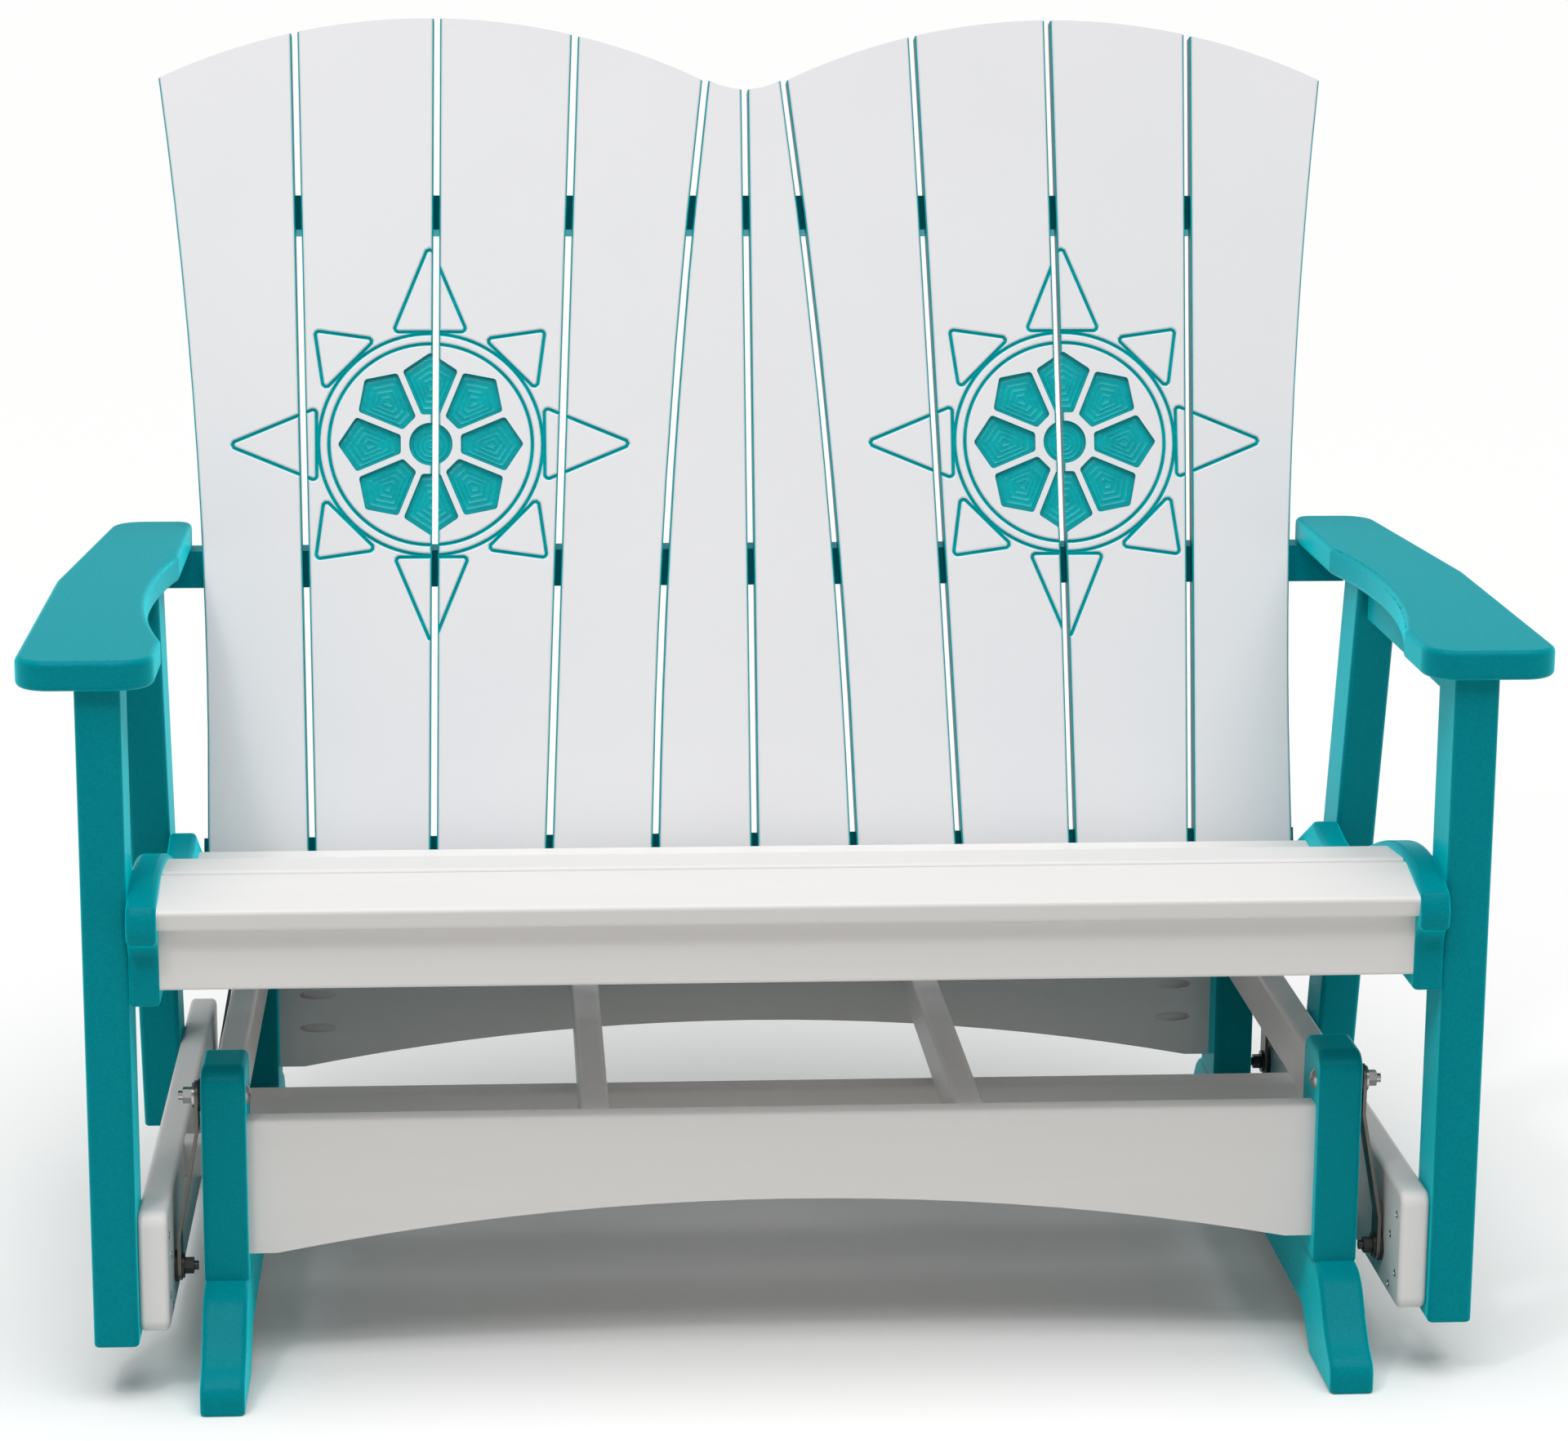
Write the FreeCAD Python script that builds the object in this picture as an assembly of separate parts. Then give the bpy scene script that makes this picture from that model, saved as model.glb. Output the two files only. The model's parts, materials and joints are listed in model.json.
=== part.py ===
import FreeCAD, Part
import math
import os

V = FreeCAD.Vector

# Driving dimensions, in millimetres. X is the width, Y the depth from front to back, Z up.
# While it is built, Y = 0 is the front of the feet; every piece is moved to the origin when it is saved.

# Base frame
FOOT_LENGTH = 770.0
FOOT_HEIGHT = 89.0
FOOT_IN = 466.0            # inner face of each foot and base post, from the middle plane
FOOT_THICK = 38.1
TOE_LENGTH = 90.0          # from the tip of the toe to the front of the post
TOE_TIP = 13.5             # height of the upright front of the toe
TOE_CAP_Y = 16.0           # where the round cap of the toe meets the hollow of the ogee
TOE_CAP_Z = 34.0
HOLLOW_Y = 40.0            # where the hollow meets the shoulder
HOLLOW_Z = 55.0
PAD_LENGTH = 92.0
PAD_RELIEF = 34.0          # how far the underside is cut up between the two pads
PAD_RAMP = 42.0
POST_DEPTH = 76.2
POST_TOP = 279.0
POST_CORNER = 19.0
EDGE_ROUND = 5.0           # router radius along the edges of the boards
END_ROUND = 3.0            # smaller radius at the ends of the posts and along lower edges
APRON_SETBACK = 15.0       # from the front of the post to the front of the apron
APRON_THICK = 25.4
APRON_HEIGHT = 120.0
APRON_DROP = 51.0          # from the top of the posts to the top of the apron
APRON_RISE = 42.0          # height of the arch under the apron
APRON_FLAT = 24.0          # level stretch at each end of the arch
BAR_THICK = 25.4
SIDE_BAR_DROP = 24.0       # from the top of the posts
SIDE_BAR_HEIGHT = 50.0
INNER_BAR_X = 165.0
INNER_BAR_DROP = 4.0       # from the top of the aprons
INNER_BAR_HEIGHT = 43.0
POCKET_R = 4.75            # slanted screw pockets in the inner faces of the aprons
POCKET_SLANT = 15.0        # degrees
POCKET_END = 38.0          # from the end of the apron to the middle of the mouth of a pocket
POCKET_REACH = 17.0        # from there to the floor of the pocket, along its slant
POCKET_HEIGHTS = (40.0, 74.0)

# Swing links and their bolts
PIVOT_SETBACK = 25.0       # from the front of the post to the upper pivot
PIVOT_DROP = 29.5          # from the top of the post to the upper pivot
LINK_OFFSET = 17.5         # how far the strap is bent outwards
LINK_LENGTH = 155.0        # between the two pivots
LINK_WIDTH = 25.4
LINK_THICK = 3.0
LINK_TAB = 30.0            # straight stretch below the upper pivot and above the lower one
LINK_BEND = 6.0
PAD_WASHER_THICK = 3.0
PAD_WASHER_R = 14.0
FLAT_WASHER_THICK = 2.0
FLAT_WASHER_R = 11.0
NUT_THICK = 8.0
NUT_R = 7.3                # across the corners, halved
BOLT_R = 4.0
BOLT_TIP = 4.0             # how far the bolt stands out of its nut
BOLT_HEAD_R = 9.0
BOLT_HEAD_RISE = 4.5
RUNNING_GAP = 0.05         # radial clearance of a bolt in its hole
FACE_GAP = 0.10            # play beside a swing link

# Lower frame of the seat
RAIL_THICK = 25.4
RAIL_HEIGHT = 108.0
RAIL_DROP = 34.6           # from the lower pivot to the bottom of the rail
RAIL_NOSE = 75.0           # from the lower front pivot to the front end of the rail
RAIL_TAIL = 35.0           # from the lower rear pivot to the rear end of the rail
RAIL_CORNER = 12.0
CROSS_THICK = 25.4
CROSS_HEIGHT = 35.0
CROSS_DROP = 2.0           # top of the cross rails below the top of the rails
CROSS_CLEAR = 73.8         # from the front posts of the base to the front cross rail
CROSS_PITCH = 132.0

# Arms and their posts
POST_SECTION = 63.5        # depth of the arm posts and of the rear legs
ARM_POST_THICK = 38.1
ARM_POST_AHEAD = 10.0      # arm posts stand this far in front of the rails
ARM_POST_FOOT = 7.9        # arm posts reach this far below the rails
LEG_SETBACK = 100.0        # from the rear end of the rail to the middle of the foot of the rear leg
LEG_STEP = 128.0           # how far the rear leg leans forward up to the arm
LEG_LIFT = 15.1            # rear legs end this far above the bottom of the rails
ARM_RISE = 199.0           # from the crest of the seat to the top of the arms
ARM_THICK = 25.4
ARM_OVERHANG = 12.0        # arms reach this far in front of their posts
ARM_TAIL = 139.0           # from the foot of the back to the rear end of the arms
ARM_WIDTH = 114.0
ARM_LAP = 27.2             # arms stand this far in from the inner faces of their posts
ARM_WAIST = 27.0           # depth of the hollow in the inner edge
ARM_WAIST_FRONT = 112.0
ARM_WAIST_REAR = 500.0
ARM_TAPER = 26.0           # how far the outer edge turns in towards the rear
ARM_TAPER_Y = 380.0        # where the outer edge starts to turn in
ARM_CORNER = 30.0
CLEAT_THICK = 19.0
CLEAT_HEIGHT = 30.0

# Seat
SEAT_END_THICK = 25.4
SEAT_LIP = 7.0             # seat ends stand this far above the slats
SEAT_NOSE_Y = 17.0         # top of the slats: nose, crest, fall and rear
SEAT_CREST_Y = 118.0
SEAT_FALL_Y = 300.0
SEAT_REAR_Y = 520.0
SEAT_RISE = 174.0          # from the top of the base posts to the crest of the seat
NOSE_DROP = 16.0           # below the crest
SEAT_FALL_DROP = 54.0
SEAT_REAR_DROP = 85.0
SLAT_THICK = 19.0
SLAT_WIDTH = 68.0
SLAT_GAP = 6.0
SLAT_ROUND = 4.0
SEAT_END_SETBACK = 13.0    # from the nose of the slats to the front of the seat ends below it
SEAT_END_HEIGHT = 83.0     # from the nose of the slats to the bottom of the seat ends
SEAT_END_HEEL_Y = 100.0
SEAT_END_DEPTH = 88.0      # depth of the seat ends below the slats, towards the back
SEAT_END_TAIL = 59.0       # from the foot of the back to the rear of the seat ends
SEAT_END_HUMP_Y = 478.0    # where the top of the seat ends turns down under the back
SEAT_END_HUMP = 23.0       # height of that corner above the rear of the slats
SEAT_END_TAIL_DROP = 10.0  # top of the seat ends at their rear, below the foot of the back
HUMP_ROUND = 14.0
NOSE_OUT = 7.0             # nose of the seat ends in front of the nose of the slats
NOSE_ROUND = 7.0
NOSE_HEIGHT = 32.0         # from the top of the nose down to where its undercut starts
NOSE_UNDERCUT = 20.0       # height of the hollow under the nose
FRONT_RAIL_HEIGHT = 70.0   # below the nose of the slats
FRONT_RAIL_THICK = 25.4
FRONT_RAIL_SETBACK = 17.0
FRONT_RAIL_ROUND = 3.0
SUPPORT_X = 190.0
SUPPORT_THICK = 25.4
SUPPORT_DEPTH = 60.0

# Fan back: u runs across, v up the slope of the back
SEAT_BACK_GAP = 25.0       # from the rear of the slats to the front face of the back, at its foot
BACK_DROP = 28.0           # foot of the back below the rear of the slats
RECLINE = 17.5
BACK_THICK = 19.0
BACK_GAP = 6.0
BACK_BOTTOM = -42.0
BACK_WAIST_V = 20.0
BACK_SIDE_GAP = 4.8        # between the back and the seat ends
FLARE_MID = 10.0           # how far the outer edge stands out at mid height and at the top
FLARE_TOP = 46.0
OUTER_V_MID = 402.0
INNER_U_TOP = 41.5
INNER_U_MID = 77.0
INNER_U_LOW = 99.0
INNER_V_MID = 425.0
FAN_APEX_V = 829.0
SHOULDER_DROP = 60.0       # from the apex of a fan to its outer corner
INNER_DROP = 61.0          # to its inner corner
VALLEY_DROP = 70.0         # and to the valley between the fans
VALLEY_SAG = 0.3           # rise of the valley at half its width, as a share of its whole rise
FAN_WIDTHS_TOP = (131.5, 139.5, 135.5)    # outer slats of a fan, from gap to gap
FAN_WIDTHS_LOW = (99.3, 116.7, 111.5)
BACK_RAIL_HEIGHT = 34.0
BACK_RAIL_DEPTH = 38.1
UPPER_RAIL_V = 640.0
UPPER_RAIL_REACH = 4.0     # upper back rail reaches this far past the lower edge of the fans
LOWER_RAIL_END = 30.0      # lower back rail stops this far inside the rear ends of the arms
BOTTOM_RAIL_HEIGHT = 70.0

CUT_MARGIN = 1.0           # cutting tools stand this far out of what they cut

# Places that follow from the driving dimensions
FOOT_OUT = FOOT_IN + FOOT_THICK
APRON_TOP = POST_TOP - APRON_DROP
APRON_BOTTOM = APRON_TOP - APRON_HEIGHT
SIDE_BAR_TOP = POST_TOP - SIDE_BAR_DROP
INNER_BAR_TOP = APRON_TOP - INNER_BAR_DROP
PIVOT_Z = POST_TOP - PIVOT_DROP
PIVOT_FRONT = TOE_LENGTH + PIVOT_SETBACK
PIVOT_REAR = FOOT_LENGTH - PIVOT_FRONT
LOW_PIVOT_Z = PIVOT_Z - LINK_LENGTH
HOLE_R = BOLT_R + RUNNING_GAP
LINK_UP_X = FOOT_OUT + PAD_WASHER_THICK + FACE_GAP
LINK_LOW_X = LINK_UP_X + LINK_OFFSET
RAIL_IN = LINK_LOW_X + LINK_THICK + FACE_GAP + PAD_WASHER_THICK
RAIL_OUT = RAIL_IN + RAIL_THICK
RAIL_BOTTOM = LOW_PIVOT_Z - RAIL_DROP
RAIL_TOP = RAIL_BOTTOM + RAIL_HEIGHT
RAIL_FRONT = PIVOT_FRONT - RAIL_NOSE
RAIL_REAR = PIVOT_REAR + RAIL_TAIL
ARM_POST_FRONT = RAIL_FRONT - ARM_POST_AHEAD
ARM_FRONT = ARM_POST_FRONT - ARM_OVERHANG
CROSS_FRONT_Y = TOE_LENGTH + POST_DEPTH + CROSS_CLEAR
CROSS_MID_Y = CROSS_FRONT_Y + CROSS_PITCH
SEAT_CREST_Z = POST_TOP + SEAT_RISE
SEAT_NOSE_Z = SEAT_CREST_Z - NOSE_DROP
SEAT_FALL_Z = SEAT_CREST_Z - SEAT_FALL_DROP
SEAT_REAR_Z = SEAT_CREST_Z - SEAT_REAR_DROP
SEAT_IN = RAIL_OUT - SEAT_END_THICK
SEAT_END_FRONT_Y = SEAT_NOSE_Y + SEAT_END_SETBACK
SEAT_END_BOTTOM = SEAT_NOSE_Z - SEAT_END_HEIGHT
NOSE_Y = SEAT_NOSE_Y - NOSE_OUT
FRONT_RAIL_Y = SEAT_NOSE_Y + FRONT_RAIL_SETBACK
FRONT_RAIL_BOTTOM = SEAT_NOSE_Z - FRONT_RAIL_HEIGHT
BACK_Y = SEAT_REAR_Y + SEAT_BACK_GAP
BACK_Z = SEAT_REAR_Z - BACK_DROP
SEAT_END_REAR_Y = BACK_Y + SEAT_END_TAIL
ARM_TOP = SEAT_CREST_Z + ARM_RISE
ARM_BOTTOM = ARM_TOP - ARM_THICK
ARM_IN = RAIL_OUT - ARM_LAP
ARM_OUT = ARM_IN + ARM_WIDTH
ARM_REAR_OUT = ARM_OUT - ARM_TAPER
ARM_REAR = BACK_Y + ARM_TAIL
ARM_POST_BOTTOM = RAIL_BOTTOM - ARM_POST_FOOT
LEG_FOOT_Y = RAIL_REAR - LEG_SETBACK
LEG_TOP_Y = LEG_FOOT_Y - LEG_STEP
LEG_BOTTOM = RAIL_BOTTOM + LEG_LIFT
OUTER_U_LOW = SEAT_IN - BACK_SIDE_GAP
OUTER_U_MID = OUTER_U_LOW + FLARE_MID
OUTER_U_TOP = OUTER_U_LOW + FLARE_TOP
OUTER_V_TOP = FAN_APEX_V - SHOULDER_DROP
INNER_V_TOP = FAN_APEX_V - INNER_DROP
VALLEY_V = FAN_APEX_V - VALLEY_DROP
FAN_APEX_U = OUTER_U_TOP - sum(FAN_WIDTHS_TOP[:2])
LEAN = math.radians(RECLINE)
BACK_UP = V(0, math.sin(LEAN), math.cos(LEAN))
BACK_OUT = V(0, math.cos(LEAN), -math.sin(LEAN))
ORIGIN_Y = (BACK_Y + FAN_APEX_V * math.sin(LEAN) + BACK_THICK * math.cos(LEAN)) / 2

os.makedirs("parts", exist_ok=True)


def save(name, *shapes):
    """Write one node, moved to the origin: on the floor, in the middle of the width and depth."""
    node = shapes[0] if len(shapes) == 1 else Part.makeCompound(list(shapes))
    node = node.copy()
    node.translate(V(0, -ORIGIN_Y, 0))
    node.exportStep("parts/%s.step" % name)


def mirrored(shape):
    return shape.mirror(V(0, 0, 0), V(1, 0, 0))


def save_pair(name, shape):
    """The shape is the right-hand piece; the left-hand one is its mirror image."""
    save(name + "_right", shape)
    save(name + "_left", mirrored(shape))


def side_points(*pairs):
    """Points in the plane of the side view, from (y, z) pairs."""
    return [V(0, y, z) for y, z in pairs]


def rounded_wire(corners):
    """Closed wire through (point, radius) corners, each corner of some radius turned into an arc."""
    count = len(corners)
    edges = []
    joints = []
    for i in range(count):
        point, radius = corners[i]
        before = corners[i - 1][0] - point
        after = corners[(i + 1) % count][0] - point
        if radius <= 0:
            joints.append((point, point))
            continue
        before.normalize()
        after.normalize()
        half = before.getAngle(after) / 2
        reach = radius / math.tan(half)
        middle = before + after
        middle.normalize()
        crown = point + middle * (radius / math.sin(half) - radius)
        start, end = point + before * reach, point + after * reach
        joints.append((start, end))
        edges.append(Part.Arc(start, crown, end).toShape())
    for i in range(count):
        start, end = joints[i - 1][1], joints[i][0]
        if (end - start).Length > 1e-6:
            edges.append(Part.LineSegment(start, end).toShape())
    return Part.Wire(Part.__sortEdges__(edges))


def tangent_arcs(points, heading):
    """Arcs from point to point in one plane, each leaving along the heading that the last arrived on."""
    edges = []
    for start, end in zip(points, points[1:]):
        chord = end - start
        along = V(chord).normalize()
        side = heading - along * heading.dot(along)
        bow = 0.5 * chord.Length * math.tan(heading.getAngle(along) / 2)
        crown = (start + end) * 0.5 + side.normalize() * bow
        edges.append(Part.Arc(start, crown, end).toShape())
        heading = along * (2 * heading.dot(along)) - heading
    return edges


def curve_through(*points, leave=None, arrive=None):
    """Smooth edge through the points; leave and arrive, where given, are its headings at the ends."""
    curve = Part.BSplineCurve()
    if leave is None:
        curve.interpolate(list(points))
    else:
        curve.interpolate(Points=list(points), InitialTangent=leave, FinalTangent=arrive)
    return curve.toShape()


def plate(corners, thickness):
    """Solid board: the outline pushed along a vector."""
    return Part.Face(rounded_wire(corners)).extrude(thickness)


def soften(shape, radius, keep):
    """Round the edges of a board that the test keeps."""
    edges = [edge for edge in shape.Edges if keep(edge)]
    return shape.makeFillet(radius, edges)


def on_plane(edge, axis, *values):
    """True for an edge that lies in one of the planes across the axis (0, 1 or 2)."""
    box = edge.BoundBox
    low, high = ((box.XMin, box.XMax), (box.YMin, box.YMax), (box.ZMin, box.ZMax))[axis]
    return any(abs(low - value) < 1e-3 and abs(high - value) < 1e-3 for value in values)


def lumber(x0, x1, y0, y1, z0, z1, run, radius=EDGE_ROUND):
    """Straight board with its four long edges rounded; run is the axis that it is long on."""
    if run == 0:
        low, high, push = (y0, z0), (y1, z1), V(x1 - x0, 0, 0)
        place = lambda a, b: V(x0, a, b)
    elif run == 1:
        low, high, push = (x0, z0), (x1, z1), V(0, y1 - y0, 0)
        place = lambda a, b: V(a, y0, b)
    else:
        low, high, push = (x0, y0), (x1, y1), V(0, 0, z1 - z0)
        place = lambda a, b: V(a, b, z0)
    corners = ((low[0], low[1]), (high[0], low[1]), (high[0], high[1]), (low[0], high[1]))
    return plate([(place(a, b), radius) for a, b in corners], push)


def bore_x(y, z, x0, x1, radius=HOLE_R):
    """Cylinder across the width, for a bolt hole."""
    return Part.makeCylinder(radius, x1 - x0, V(x0, y, z), V(1, 0, 0))


# Base

def foot():
    """Runner with an ogee toe at each end and a relieved underside."""
    ogee = ((TOE_LENGTH, FOOT_HEIGHT), (HOLLOW_Y, HOLLOW_Z), (TOE_CAP_Y, TOE_CAP_Z), (0, TOE_TIP))
    under = ((0, TOE_TIP), (0, 0), (PAD_LENGTH, 0), (PAD_LENGTH + PAD_RAMP, PAD_RELIEF))
    edges = []
    halves = []
    for way, end in ((1, 0), (-1, FOOT_LENGTH)):
        top = [V(FOOT_IN, end + way * y, z) for y, z in ogee]
        low = [V(FOOT_IN, end + way * y, z) for y, z in under]
        edges.append(curve_through(*top, leave=V(0, -way, 0), arrive=V(0, 0, -1)))
        edges += [Part.LineSegment(low[i], low[i + 1]).toShape() for i in range(3)]
        halves.append((top[0], low[-1]))
    edges += [Part.LineSegment(front, rear).toShape() for front, rear in zip(*halves)]
    runner = Part.Face(Part.Wire(Part.__sortEdges__(edges))).extrude(V(FOOT_THICK, 0, 0))
    runner = soften(runner, EDGE_ROUND, lambda edge: on_plane(edge, 0, FOOT_IN, FOOT_OUT)
                    and (edge.BoundBox.ZMin > PAD_RELIEF or edge.Curve.TypeId != "Part::GeomLine"))
    return soften(runner, END_ROUND, lambda edge: on_plane(edge, 2, 0))


def base_post(front_y):
    """Upright on the foot, with a rounded top and the bolt hole of the upper pivot."""
    rear_y = front_y + POST_DEPTH
    outline = [(V(FOOT_IN, front_y, FOOT_HEIGHT), 0), (V(FOOT_IN, rear_y, FOOT_HEIGHT), 0),
               (V(FOOT_IN, rear_y, POST_TOP), POST_CORNER), (V(FOOT_IN, front_y, POST_TOP), POST_CORNER)]
    post = plate(outline, V(FOOT_THICK, 0, 0))
    return soften(post, EDGE_ROUND, lambda edge: on_plane(edge, 0, FOOT_IN, FOOT_OUT)
                  and not on_plane(edge, 2, FOOT_HEIGHT))


def apron(front_y, inner_y):
    """Board between the posts of one end, arched along its lower edge, with screw pockets inside."""
    half = FOOT_IN
    flat = half - APRON_FLAT
    low, top, back = APRON_BOTTOM, APRON_TOP, front_y + APRON_THICK
    points = [V(-half, front_y, top), V(half, front_y, top), V(half, front_y, low), V(flat, front_y, low)]
    edges = [Part.LineSegment(points[i], points[i + 1]).toShape() for i in range(3)]
    edges.append(Part.Arc(points[3], V(0, front_y, low + APRON_RISE), V(-flat, front_y, low)).toShape())
    edges.append(Part.LineSegment(V(-flat, front_y, low), V(-half, front_y, low)).toShape())
    edges.append(Part.LineSegment(V(-half, front_y, low), points[0]).toShape())
    board = Part.Face(Part.Wire(Part.__sortEdges__(edges))).extrude(V(0, APRON_THICK, 0))
    board = soften(board, EDGE_ROUND, lambda edge: on_plane(edge, 2, top) and edge.Length > half
                   and on_plane(edge, 1, front_y, back))
    into = 1 if inner_y == front_y else -1
    for side in (-1, 1):
        for height in POCKET_HEIGHTS:
            board = board.cut(pocket(side, inner_y, low + height, into))
    return board


def pocket(side, face_y, z, into):
    """Cutter for a slanted screw pocket, towards one end of an apron."""
    slant = math.radians(POCKET_SLANT)
    along = V(side * math.cos(slant), into * math.sin(slant), 0)
    mouth = V(side * (FOOT_IN - POCKET_END), face_y, z)
    run_up = 2 * POCKET_R / math.tan(slant)
    return Part.makeCylinder(POCKET_R, run_up + POCKET_REACH, mouth - along * run_up, along)


def base():
    rear_post = FOOT_LENGTH - TOE_LENGTH - POST_DEPTH
    save_pair("foot", foot())
    for end, front_y, pivot_y in (("front", TOE_LENGTH, PIVOT_FRONT), ("rear", rear_post, PIVOT_REAR)):
        hole = bore_x(pivot_y, PIVOT_Z, FOOT_IN, FOOT_OUT)
        save_pair("base_post_" + end, base_post(front_y).cut(hole))
    front_apron = TOE_LENGTH + APRON_SETBACK
    rear_apron = FOOT_LENGTH - front_apron - APRON_THICK
    save("front_apron", apron(front_apron, front_apron + APRON_THICK))
    save("rear_apron", apron(rear_apron, rear_apron))
    side_in = FOOT_IN + (FOOT_THICK - BAR_THICK) / 2
    side_bar = lumber(side_in, side_in + BAR_THICK, TOE_LENGTH + POST_DEPTH, rear_post,
                      SIDE_BAR_TOP - SIDE_BAR_HEIGHT, SIDE_BAR_TOP, 1)
    save_pair("base_side_bar", side_bar)
    inner_bar = lumber(INNER_BAR_X - BAR_THICK / 2, INNER_BAR_X + BAR_THICK / 2, front_apron + APRON_THICK,
                       rear_apron, INNER_BAR_TOP - INNER_BAR_HEIGHT, INNER_BAR_TOP, 1)
    save_pair("base_inner_bar", inner_bar)


# Swing links

def link(pivot_y):
    """Flat strap, bent outwards below its upper hole, round at both ends."""
    half = LINK_WIDTH / 2
    low = LOW_PIVOT_Z
    path = [(LINK_UP_X, PIVOT_Z + half), (LINK_UP_X, PIVOT_Z - LINK_TAB),
            (LINK_LOW_X, low + LINK_TAB), (LINK_LOW_X, low - half)]
    near = [V(x, pivot_y - half, z) for x, z in path]
    far = [V(x + LINK_THICK, pivot_y - half, z) for x, z in reversed(path)]
    bends = (0, LINK_BEND, LINK_BEND, 0)
    strip = plate(list(zip(near + far, bends + bends)), V(0, LINK_WIDTH, 0))
    outline = [(V(LINK_UP_X, pivot_y - half, PIVOT_Z), V(LINK_UP_X, pivot_y, PIVOT_Z + half),
                V(LINK_UP_X, pivot_y + half, PIVOT_Z)),
               (V(LINK_UP_X, pivot_y + half, low), V(LINK_UP_X, pivot_y, low - half),
                V(LINK_UP_X, pivot_y - half, low))]
    edges = [Part.Arc(*arc).toShape() for arc in outline]
    edges.append(Part.LineSegment(outline[0][2], outline[1][0]).toShape())
    edges.append(Part.LineSegment(outline[1][2], outline[0][0]).toShape())
    across = LINK_LOW_X + LINK_THICK - LINK_UP_X
    stadium = Part.Face(Part.Wire(Part.__sortEdges__(edges))).extrude(V(across, 0, 0))
    strap = strip.common(stadium)
    for z in (PIVOT_Z, low):
        strap = strap.cut(bore_x(pivot_y, z, LINK_UP_X - CUT_MARGIN, LINK_LOW_X + LINK_THICK + CUT_MARGIN))
    return strap


def washer(x, thickness, radius, y, z):
    return bore_x(y, z, x, x + thickness, radius).cut(bore_x(y, z, x, x + thickness))


def nut(x, y, z):
    turns = [k * math.pi / 3 for k in range(7)]
    points = [V(x, y + NUT_R * math.cos(turn), z + NUT_R * math.sin(turn)) for turn in turns]
    body = Part.Face(Part.makePolygon(points)).extrude(V(NUT_THICK, 0, 0))
    return body.cut(bore_x(y, z, x, x + NUT_THICK))


def carriage_bolt(head_x, tip_x, y, z):
    """Bolt along X with a low domed head at head_x."""
    way = 1 if tip_x > head_x else -1
    shank = Part.makeCylinder(BOLT_R, abs(tip_x - head_x), V(head_x, y, z), V(way, 0, 0))
    ball = (BOLT_HEAD_R ** 2 + BOLT_HEAD_RISE ** 2) / (2 * BOLT_HEAD_RISE)
    dome = Part.makeSphere(ball, V(head_x + way * (ball - BOLT_HEAD_RISE), y, z))
    reach = Part.makeCylinder(BOLT_HEAD_R + CUT_MARGIN, BOLT_HEAD_RISE, V(head_x, y, z), V(-way, 0, 0))
    return shank.fuse(dome.common(reach)).removeSplitter()


def links_and_bolts():
    """Links and hardware of the right side, and their mirror images."""
    upper_bolts, upper_nuts, upper_pads = [], [], []
    lower_bolts, lower_nuts, lower_pads = [], [], []
    for end, y in (("front", PIVOT_FRONT), ("rear", PIVOT_REAR)):
        save_pair("swing_link_" + end, link(y))
        flat_x = LINK_UP_X + LINK_THICK + FACE_GAP
        nut_x = flat_x + FLAT_WASHER_THICK
        upper_pads.append(washer(FOOT_OUT, PAD_WASHER_THICK, PAD_WASHER_R, y, PIVOT_Z))
        upper_nuts.append(washer(flat_x, FLAT_WASHER_THICK, FLAT_WASHER_R, y, PIVOT_Z))
        upper_nuts.append(nut(nut_x, y, PIVOT_Z))
        upper_bolts.append(carriage_bolt(FOOT_IN, nut_x + NUT_THICK + BOLT_TIP, y, PIVOT_Z))
        flat_x = LINK_LOW_X - FACE_GAP - FLAT_WASHER_THICK
        nut_x = flat_x - NUT_THICK
        lower_pads.append(washer(RAIL_IN - PAD_WASHER_THICK, PAD_WASHER_THICK, PAD_WASHER_R, y, LOW_PIVOT_Z))
        lower_nuts.append(washer(flat_x, FLAT_WASHER_THICK, FLAT_WASHER_R, y, LOW_PIVOT_Z))
        lower_nuts.append(nut(nut_x, y, LOW_PIVOT_Z))
        lower_bolts.append(carriage_bolt(RAIL_OUT, nut_x - BOLT_TIP, y, LOW_PIVOT_Z))
    groups = (("upper_pivot_bolts", upper_bolts), ("upper_pivot_nuts", upper_nuts),
              ("upper_pad_washers", upper_pads), ("lower_pivot_bolts", lower_bolts),
              ("lower_pivot_nuts", lower_nuts), ("lower_pad_washers", lower_pads))
    for name, right in groups:
        save(name, *(right + [mirrored(piece) for piece in right]))


# Lower frame of the seat, arms and legs

def glide_rail():
    """Lower rail that hangs on two links."""
    corners = ((RAIL_FRONT, RAIL_BOTTOM), (RAIL_REAR, RAIL_BOTTOM),
               (RAIL_REAR, RAIL_TOP), (RAIL_FRONT, RAIL_TOP))
    rail = plate([(V(RAIL_IN, y, z), RAIL_CORNER) for y, z in corners], V(RAIL_THICK, 0, 0))
    rail = soften(rail, EDGE_ROUND, lambda edge: on_plane(edge, 0, RAIL_IN, RAIL_OUT))
    for y in (PIVOT_FRONT, PIVOT_REAR):
        rail = rail.cut(bore_x(y, LOW_PIVOT_Z, RAIL_IN, RAIL_OUT))
    return rail


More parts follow.
